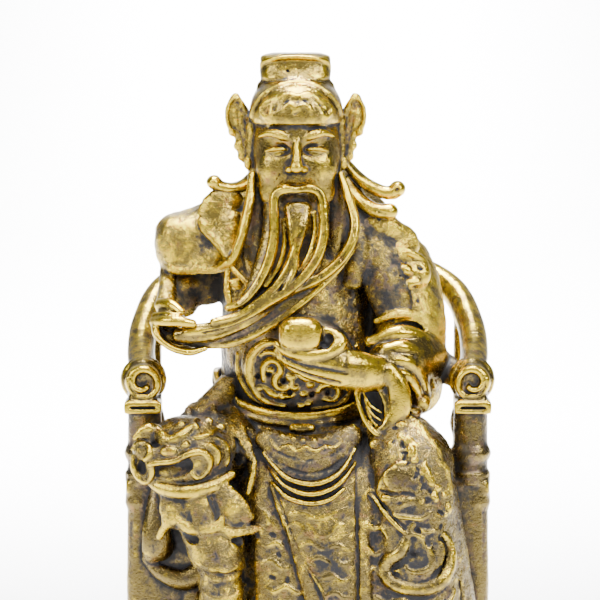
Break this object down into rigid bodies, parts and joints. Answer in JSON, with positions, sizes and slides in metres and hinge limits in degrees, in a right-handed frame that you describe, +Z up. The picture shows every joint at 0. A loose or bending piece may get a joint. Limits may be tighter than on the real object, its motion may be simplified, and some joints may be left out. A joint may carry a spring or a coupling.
{
  "type": "guan yu statue",
  "caption": "Small solid cast-brass statue of a seated, capped and long-bearded warrior in an armoured robe, on a horseshoe-backed chair, cast in one with a low plinth.",
  "frame": {"origin": "middle of the plinth's flat underside", "axes": "+Z up through the statue, -Y towards the front that the face looks to, +X to the viewer's right when facing the front"},
  "size_m": [0.036, 0.031, 0.06],
  "materials": {
    "brass": "cast and polished brass, blackened in the recesses by an antique patina"
  },
  "bodies": {
    "root": {"seated_statue": "brass"}
  },
  "joints": []
}
